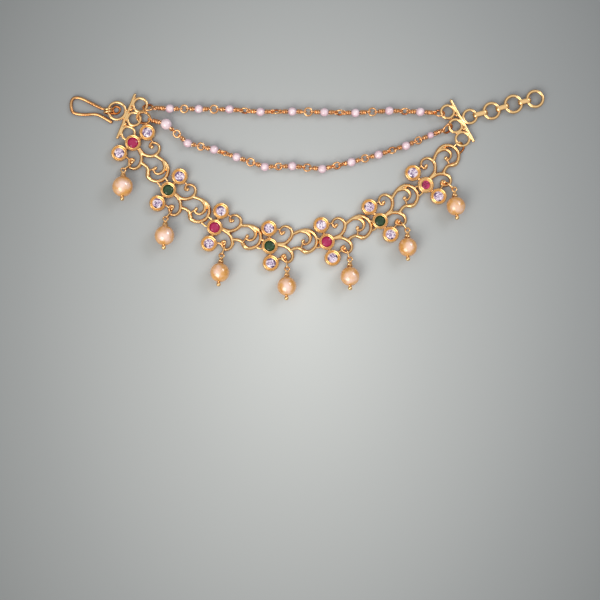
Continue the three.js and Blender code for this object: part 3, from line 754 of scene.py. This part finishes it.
def pin_shape(pearl_radius):
    """The eye, wrap, stem, collar and end ball of one pin, with its eye's centre at the origin."""
    top = PEARL_REACH - pearl_radius
    bottom = PEARL_REACH + pearl_radius
    below = Matrix.Rotation(math.pi / 2, 4, "X")
    stem = [(0, -EYE_RADIUS + STEM["into_eye"], 0), (0, -3, 0), (0, -bottom - STEM["past_pearl"], 0)]
    return gathered([
        swept(stem, round_section(STEM["wire"])),
        ring_shape(EYE_RADIUS, EYE_WIRE, 32, 10),
        coil((0, -EYE_RADIUS - WRAP_BELOW_EYE, 0), (0, -top + WRAP_ON_PEARL, 0), **WRAP),
        ball((0, -bottom - PIN_BALL_REACH, 0), PIN_BALL, 20),
        moved(turned(COLLAR_PROFILE, 20), Matrix.Translation((0, -bottom - COLLAR_REACH, 0)) @ below),
    ])


def drilled_pearl(radius, bore, rows=26, sides=44, rough=0.0, seed=0):
    """A pearl drilled through along Z, a little out of true as real ones are."""
    start = math.asin(bore / radius)
    angles = np.linspace(start, math.pi - start, rows)
    profile = [(radius * math.sin(a), -radius * math.cos(a)) for a in angles]
    corners, faces = turned(profile, sides)
    count = len(corners)
    for k in range(sides):
        after = (k + 1) % sides
        faces.append((count - sides + after, after, k, count - sides + k))
    draw = random.Random(seed)
    swell = np.ones(count)
    for _ in range(PEARL_WAVES):
        wave = draw.uniform(LONGEST_WAVE, SHORTEST_WAVE) / radius
        phase, axis = draw.uniform(0, ANY_TURN), draw.randrange(3)
        swell += rough * np.sin(2 * corners[:, axis] * wave + phase)
    swell /= swell.max()
    corners[:, :2] *= swell[:, None]
    return corners, faces


def pearl_skin():
    """The skin of a pearl: soft clouds of colour, and the finest of dimples."""
    inputs = {"Position": "NodeSocketVector", "Scale": "NodeSocketFloat"}
    tree, given, results = skin_group("pearl_skin", inputs, ("Cloud", "Height"))
    dimple_scale = reckoned(tree, "MULTIPLY", given["Scale"], DIMPLES_PER_CLOUD)
    cloud = mottle(tree, given["Position"], given["Scale"], detail=2.0)
    tree.links.new(cloud, results["Cloud"])
    dimple = mottle(tree, given["Position"], dimple_scale, detail=3.0)
    tree.links.new(dimple, results["Height"])
    return tree


PEARL_SKIN = pearl_skin()


def nacre(name, shades, scale, heights, **sockets):
    """Nacre: clouded colour with painted light, rosier and paler upwards, under a soft gloss and a thin hard
    lustre.
    """
    material, tree, shader = new_material(name, Sheen_Weight=0.3, Sheen_Roughness=0.4, **sockets)
    place = add_node(tree, "ShaderNodeTexCoord").outputs["Object"]
    skin = add_node(tree, "ShaderNodeGroup", node_tree=PEARL_SKIN)
    tree.links.new(place, skin.inputs["Position"])
    skin.inputs["Scale"].default_value = scale
    # Painted light and sheen: paler and rosier towards the top of each pearl, golden at its sides.
    painted_top_light = add_node(tree, "ShaderNodeMapRange", {
        "Value": add_node(tree, "ShaderNodeSeparateXYZ", {0: place}).outputs["Z"],
        "From Min": heights[0] * MM, "From Max": heights[1] * MM, "To Min": -0.38, "To Max": 0.36,
    })
    cloud_and_painted_light = reckoned(tree, "ADD", skin.outputs["Cloud"], painted_top_light.outputs["Result"])
    tree.links.new(ramp_of(tree, cloud_and_painted_light, *zip(NACRE_STOPS, shades)), shader.inputs["Base Color"])
    dented(tree, shader, skin.outputs["Height"], strength=0.25)
    return material


# The heights are where the painted light on each pearl begins and where it is full.
GOLDEN_NACRE = nacre(
    "golden_nacre", ("C87E1E", "E6A858", "FFDCD0"), scale=520.0, heights=(2.9, 5.9),
    Roughness=0.22, IOR=1.8, Coat_Weight=1.0, Coat_Roughness=0.05, Sheen_Tint=linear("FFD2C8"),
)

for number, (panel_place, (diameter, lean)) in enumerate(zip(PANEL_PLACES, DROPS), start=1):
    place = flat_place(*panel_place)
    radius = diameter / 2 - PEARL_EASE
    link_height = DROP_LINK["half_height"] + DROP_LINK["wire"]
    link_place = place @ Matrix.Translation((FOOT_U, FOOT_V - DROP_LINK["middle"], link_height))
    link = mesh_of("link", long_link())
    finished(f"drop_link_{number}", link, CAST_GOLD, [f"drop_ring_{number}"], link_place)
    hang = place @ Matrix.Translation((FOOT_U, FOOT_V - EYE_REACH, EYE_HEIGHT))
    hang = hang @ Matrix.Rotation(math.radians(lean - panel_place[2]), 4, "Z")
    hang = hang @ Matrix.Rotation(-math.asin((radius - EYE_HEIGHT) / PEARL_REACH), 4, "X")
    pin = mesh_of("pin", pin_shape(radius))
    finished(f"wrapped_pin_{number}", pin, CAST_GOLD, [f"drop_pin_{number}"], hang)
    pearl_place = hang @ Matrix.Translation((0, -PEARL_REACH, 0)) @ Matrix.Rotation(math.pi / 2, 4, "X")
    pearl = mesh_of("pearl", drilled_pearl(radius, PEARL_BORE, rough=PEARL_ROUGH, seed=number))
    node = f"drop_pearl_{number}"
    finished(f"golden_pearl_{number}", pearl, GOLDEN_NACRE, [node], pearl_place, smooth=60)

# The end bars: each is a straight cast bar with three rings in a row inside it for the three rows, one ring
# outside it, and beads and a short strut in the corners, all soldered. The outside ring is given last.
BARS = {
    "left_end_bar": {
        "place": LEFT_BAR_PLACE,
        "rings": (LEFT_LOW_RING, (2.35, 0.1, 1.8), (2.45, 4.4, 1.9), (-2.95, 0.4, 2.4)),
    },
    "right_end_bar": {
        "place": (43.65, 20.4, -150.8),
        "rings": ((2.35, -4.2, 1.8), (2.35, 0.3, 1.8), (2.4, 4.5, 1.9), (-2.45, 0.0, 1.87)),
    },
}
BAR_HALF, BAR_RADIUS, BAR_RING_WIRE, BAR_END_INSET = 6.55, 0.43, 0.41, 0.1
BAR_BEAD, BAR_BEAD_HEIGHT, BAR_BEADS = 0.46, 0.08, ((0.6, -2.1), (0.6, 2.25))
BAR_STRUT_WIRE, BAR_STRUT_HEIGHT = 0.24, 0.1
BAR_STRUTS = (((0.1, -2.9), (0.85, -1.9)), ((0.1, 3.0), (0.85, 2.0)))
BAR_VOXEL, BAR_FACES_KEPT = 0.07, 0.45

for name, bar in BARS.items():
    rod_line = [(0, y, 0) for y in np.linspace(-BAR_HALF, BAR_HALF, 30)]
    shapes = [swept(rod_line, round_section(BAR_RADIUS, 16))]
    for out, along, radius in bar["rings"]:
        ring = ring_shape(radius, BAR_RING_WIRE, 64, 14)
        shapes.append(moved(ring, Matrix.Translation((out, along, 0))))
    for out, along in BAR_BEADS:
        shapes.append(ball((out, along, BAR_BEAD_HEIGHT), BAR_BEAD))
    for ends in BAR_STRUTS:
        strut_line = [(*end, BAR_STRUT_HEIGHT) for end in ends]
        shapes.append(swept(strut_line, round_section(BAR_STRUT_WIRE)))
    for way in (-1, 1):
        shapes.append(ball((0, way * (BAR_HALF - BAR_END_INSET), 0), BAR_RADIUS))
    mesh = worked(name, gathered(shapes), *fused(BAR_VOXEL, BAR_FACES_KEPT))
    finished(f"soldered_{name}", mesh, CAST_GOLD, [name], flat_place(*bar["place"], LOOP_HEIGHT))

# The hook: one wire, curled flat at its end, wound twice round the outer ring of the left bar, bent to a long
# narrow U, and flicked out at its tip. It is thinner in its curl and coil, and a fine wire is wound round the
# limb next to the coil.
HOOK_WIRE, HOOK_TIP, HOOK_CURL_END = 0.42, 0.46, 0.3
HOOK_CURL = {"x": -53.35, "y": 23.5, "z": 0.36, "radius": 1.0, "degrees": (230, -90)}
HOOK_COIL = {"x": -55.55, "y": 23.2, "radius": 1.06, "turns": 2, "pitch": 0.7, "steps": 12}
HOOK_BENDS = (
    (-57.4, 23.9, 0.53), (-60.2, 25.3, 0.5), (-63.4, 26.8, 0.49), (-65.4, 26.7, 0.49), (-66.06, 24.9, 0.49),
    (-65.4, 22.8, 0.49), (-62.6, 22.2, 0.49), (-59.2, 22.3, 0.49), (-57.0, 21.4, 0.49), (-54.8, 20.1, 0.49),
)
HOOK_SPACING = 0.2
HOOK_SWELL = {"least": 0.75, "more": 0.3, "from": 20.0, "over": 6.0}
BINDING_START, BINDING_END = (-57.3, 23.85, 0.54), (-61.6, 26.0, 0.52)
BINDING = {"radii": (0.38, 0.38), "wire": 0.13, "turns": 11}


def wound_wire():
    """The flat curl and the coil, as points."""
    points = []
    for angle in np.radians(np.linspace(*HOOK_CURL["degrees"], 15)):
        across, along = HOOK_CURL["radius"] * math.cos(angle), HOOK_CURL["radius"] * math.sin(angle)
        points.append((HOOK_CURL["x"] + across, HOOK_CURL["y"] + along, HOOK_CURL["z"]))
    radius, steps = HOOK_COIL["radius"], HOOK_COIL["steps"]
    for i in range(HOOK_COIL["turns"] * steps + 1):
        angle = -math.pi / 2 - 2 * math.pi * i / steps
        y = HOOK_COIL["y"] + HOOK_COIL["pitch"] * (i / steps - HOOK_COIL["turns"] / 2)
        z = radius + HOOK_WIRE + radius * math.sin(angle)
        points.append((HOOK_COIL["x"] + radius * math.cos(angle), y, z))
    return points


hook_line = smooth_line([*wound_wire(), *HOOK_BENDS], spacing=HOOK_SPACING)
run = np.arange(len(hook_line)) * HOOK_SPACING
thicker = np.clip((run - HOOK_SWELL["from"]) / HOOK_SWELL["over"], 0, 1)
swell = HOOK_SWELL["least"] + HOOK_SWELL["more"] * thicker
hook_shape = gathered([
    swept(hook_line, round_section(HOOK_WIRE, 14), swell=swell),
    ball(hook_line[-1], HOOK_TIP),
    ball(hook_line[0], HOOK_CURL_END),
    coil(BINDING_START, BINDING_END, **BINDING),
])
finished("wound_hook", mesh_of("hook", hook_shape), CAST_GOLD, ["hook"], ROW)

# The two pearl chains: small pinkish pearls, each on a wire that is wrapped at both ends of the pearl and
# closed in eyes, with round jump rings from eye to eye. The wire is thin, reddish and gold plated. A twisted
# jump ring of the castings' gold holds the lower chain at the left bar.
CHAIN_WIRE, CHAIN_EYE = 0.22, 0.5
CHAIN_PEARL = {"bore": 0.28, "rows": 16, "sides": 28, "rough": 0.01}
FIRST_SEED = 40
JUMP_RING = {"least": 0.8, "most": 1.08, "per_span": 0.125, "wire": 0.25}
EYE_TURN = 90
CHAIN_WRAP = {"wire": 0.25, "radii": (0.52, 0.44)}
WRAP_PITCH, LEAST_WRAPS, WRAP_FROM_PEARL, WRAP_FROM_EYE = 0.52, 1.5, 0.1, 0.02
END_RING_LIFT = 0.01
TWISTED_EXTRA_WIRE = 0.2
TWIST = {"turns": 16, "out": 0.5, "strand": 0.62}
# Each pearl is x, y, its diameter and the tilt in degrees of the jump ring after it.
CHAINS = {
    "upper": {
        "pearls": (
            (-38.3, 23.8, 2.4, 8), (-30.2, 23.7, 2.4, 12), (-21.6, 23.6, 2.4, 58), (-12.9, 22.9, 2.4, -60),
            (-4.0, 23.0, 2.4, 10), (5.0, 22.8, 2.4, 60), (13.7, 22.6, 2.4, -10), (23.2, 23.2, 2.4, 50),
            (31.9, 22.9, 2.4, 0),
        ),
        "start": {"x": -44.35, "y": 24.1, "radius": 1.4, "wire": 0.29, "tilt": -51, "slope": 0},
        "end": {"x": 37.25, "y": 22.5, "radius": 1.35, "wire": 0.29, "tilt": -51, "slope": 0},
    },
    "lower": {
        "pearls": (
            (-39.3, 19.4, 3.1, 20), (-33.3, 14.1, 2.4, 10), (-25.9, 12.3, 2.4, -50), (-19.6, 10.2, 2.4, 15),
            (-11.7, 7.5, 2.4, 30), (-4.0, 7.7, 2.4, -20), (4.4, 6.9, 2.4, 40), (12.6, 8.8, 2.4, 10),
            (20.2, 10.9, 2.4, -35), (27.9, 13.4, 2.4, 20), (34.8, 16.4, 1.9, 0),
        ),
        "start": {"x": -45.6, "y": 21.2, "radius": 1.85, "wire": 0.25, "tilt": 36, "slope": 10},
        "end": {"x": 39.55, "y": 18.2, "radius": 1.45, "wire": 0.29, "tilt": 50, "slope": -26},
    },
}
# The chain wire's plate has the same painted shade low down and painted light on top.
CHAIN_GOLD = plated_metal(
    "chain_wire_plate", deep="AE5826", pale="F8BE86", rough=(0.16, 0.27), grain=0.3, bump=0.14,
)
# These small pearls get the same painted light, over their own heights.
SMALL_NACRE = nacre(
    "small_pearl_nacre", ("C08CA4", "E2B8CA", "FAE6EE"), scale=700.0, heights=(0.8, 2.3),
    Roughness=0.28, IOR=1.6, Coat_Weight=0.8, Coat_Roughness=0.1, Sheen_Tint=linear("E8C8F0"),
)


def unit(vector):
    return vector / np.linalg.norm(vector)


def chain_ring(centre, along, tilt, radius, wire, sides=28):
    """A closed ring that lies along a direction, and is tilted about it by that many degrees."""
    side = unit(np.cross((0, 0, 1), along))
    rise = np.cross(along, side)
    lean = math.radians(tilt)
    over = side * math.cos(lean) + rise * math.sin(lean)
    turn = Matrix((along, over, np.cross(along, over))).transposed().to_4x4()
    return moved(ring_shape(radius, wire, sides, 10), Matrix.Translation(centre) @ turn)


def twisted_pair(radius, wire):
    """A ring of two wires twisted round each other."""
    angles = np.arange(120) * 2 * np.pi / 120
    strands = []
    for start in (0, math.pi):
        wind = TWIST["turns"] * angles + start
        away = radius + TWIST["out"] * wire * np.cos(wind)
        height = TWIST["out"] * wire * np.sin(wind)
        line = np.column_stack([away * np.cos(angles), away * np.sin(angles), height])
        strands.append(swept(line, round_section(TWIST["strand"] * wire, 8), closed=True, flat=True))
    return gathered(strands)


def leaning(shape, ring, heading=0.0):
    """A tilted and sloping end ring that stands on the surface, and its centre."""
    lean = (
        Matrix.Rotation(heading, 4, "Z") @ Matrix.Rotation(math.radians(-ring["slope"]), 4, "Y")
        @ Matrix.Rotation(math.radians(ring["tilt"]), 4, "X")
    )
    corners, faces = moved(shape, lean)
    hub = np.array((ring["x"], ring["y"], -corners[:, 2].min() + END_RING_LIFT))
    return (corners + hub, faces), hub


def wired_pearl(centre, diameter, neighbours, seed):
    """One pearl, and the eyes, wraps and stem of its wire. Neighbours are the rings before and after it."""
    wires, eye_ends = [], []
    for hub, radius, tilt in neighbours:
        away = unit(hub - centre)
        eye = hub - away * radius
        wires.append(chain_ring(eye, away, tilt + EYE_TURN, CHAIN_EYE, CHAIN_WIRE, 22))
        near = centre + away * (diameter / 2 + WRAP_FROM_PEARL)
        far = eye - away * (CHAIN_EYE + WRAP_FROM_EYE)
        wraps = max(LEAST_WRAPS, float(np.linalg.norm(far - near)) / WRAP_PITCH)
        wires.append(coil(near, far, turns=wraps, **CHAIN_WRAP))
        eye_ends.append(far)
    wires.append(swept([eye_ends[0], centre, eye_ends[1]], round_section(CHAIN_WIRE, 8)))
    axis = Vector(eye_ends[1] - eye_ends[0]).to_track_quat("Z", "Y").to_matrix().to_4x4()
    bead = drilled_pearl(diameter / 2, **CHAIN_PEARL, seed=seed)
    return wires, moved(bead, Matrix.Translation(centre) @ axis)


def chain_shapes(pearls, start, end, twisted_start):
    """The wires of one chain and its pearls, without a twisted first ring, which is its own piece."""
    centres = [np.array((x, y, diameter / 2)) for x, y, diameter, _ in pearls]
    wires, rings = [], []
    if twisted_start:
        _, hub = leaning(twisted_pair(start["radius"], start["wire"]), start)
    else:
        heading = math.atan2(centres[0][1] - start["y"], centres[0][0] - start["x"])
        shape, hub = leaning(ring_shape(start["radius"], start["wire"], 48, 10), start, heading)
        wires.append(shape)
    rings.append((hub, start["radius"], start["tilt"]))
    for a, b, (_, _, _, tilt) in zip(centres, centres[1:], pearls):
        middle = (a + b) / 2
        radius = JUMP_RING["per_span"] * np.linalg.norm(b - a)
        radius = min(JUMP_RING["most"], max(JUMP_RING["least"], radius))
        wires.append(chain_ring(middle, unit(b - a), tilt, radius, JUMP_RING["wire"]))
        rings.append((middle, radius, tilt))
    heading = math.atan2(end["y"] - centres[-1][1], end["x"] - centres[-1][0])
    shape, hub = leaning(ring_shape(end["radius"], end["wire"], 48, 10), end, heading)
    wires.append(shape)
    rings.append((hub, end["radius"], end["tilt"]))
    beads = []
    for number, (centre, (_, _, diameter, _)) in enumerate(zip(centres, pearls)):
        pearl_wires, bead = wired_pearl(centre, diameter, rings[number:number + 2], FIRST_SEED + number)
        wires += pearl_wires
        beads.append(bead)
    return gathered(wires), gathered(beads)


start = CHAINS["lower"]["start"]
twisted_ring, _ = leaning(twisted_pair(start["radius"], start["wire"] + TWISTED_EXTRA_WIRE), start)
finished("twisted_jump_ring", mesh_of("ring", twisted_ring), CAST_GOLD, ["lower_pearl_chain"], ROW)
for side, chain in CHAINS.items():
    shapes = chain_shapes(**chain, twisted_start=side == "lower")
    wires, beads = (mesh_of(side, shape) for shape in shapes)
    nodes = [f"{side}_pearl_chain"]
    finished(f"{side}_chain_wires", wires, CHAIN_GOLD, nodes, ROW)
    finished(f"{side}_chain_pearls", beads, SMALL_NACRE, nodes, ROW, smooth=60)

# The extender: three loose round rings past the ring of the right bar, joined by loops bent from flat strip.
# The hook closes in whichever ring fits the wearer. Each ring is its x, y and radius.
EXTENDER_WIRE = 0.44
STRIP = {"width": 1.3, "thickness": 0.3, "gap": 0.26, "half_height": 0.95, "corner": 0.09}
EXTENDER_RINGS = ((51.9, 23.2, 2.15), (58.0, 25.1, 2.3), (64.1, 26.55, 2.2))


def strip_loop(first, second):
    """A loop of flat strip that holds two neighbouring rings, with its place."""
    (xa, ya, ra), (xb, yb, rb) = first, second
    length = math.dist((xa, ya), (xb, yb))
    spacing = length - ra - rb
    inner = STRIP["half_height"] - STRIP["thickness"]
    straight = (spacing + 2 * (EXTENDER_WIRE + STRIP["gap"]) - 2 * inner) / 2
    middle = inner + STRIP["thickness"] / 2
    bend = np.radians(np.linspace(-90, 90, 17))
    far = [(straight + middle * math.cos(a), middle * math.sin(a)) for a in bend]
    line = smooth_line(far + [(-u, -v) for u, v in far], closed=True)
    thick, wide, corner = STRIP["thickness"] / 2, STRIP["width"] / 2, STRIP["corner"]
    section = [
        (thick, wide - corner), (thick - corner, wide), (corner - thick, wide), (-thick, wide - corner),
        (-thick, corner - wide), (corner - thick, -wide), (thick - corner, -wide), (thick, corner - wide),
    ]
    share = (ra + spacing / 2) / length
    heading = math.degrees(math.atan2(yb - ya, xb - xa))
    place = flat_place(xa + (xb - xa) * share, ya + (yb - ya) * share, heading, LOOP_HEIGHT)
    return swept(line, section, closed=True, flat=True), place @ Matrix.Rotation(math.pi / 2, 4, "X")


x, y, turn = BARS["right_end_bar"]["place"]
out, along, radius = BARS["right_end_bar"]["rings"][-1]
bar_place = Matrix.Translation((x, y, 0)) @ Matrix.Rotation(math.radians(turn), 4, "Z")
outer = bar_place @ Vector((out, along, 0))
neighbours = zip([(outer.x, outer.y, radius), *EXTENDER_RINGS], EXTENDER_RINGS)
for number, (first, second) in enumerate(neighbours, start=1):
    x, y, radius = second
    ring = mesh_of("ring", ring_shape(radius, EXTENDER_WIRE, 72, 14))
    ring_place = flat_place(x, y, 0, LOOP_HEIGHT)
    finished(f"loose_ring_{number}", ring, CAST_GOLD, [f"extender_ring_{number}"], ring_place)
    shape, place = strip_loop(first, second)
    strip = mesh_of("strip", shape)
    finished(f"strip_loop_{number}", strip, CAST_GOLD, [f"extender_link_{number}"], place, smooth=50)
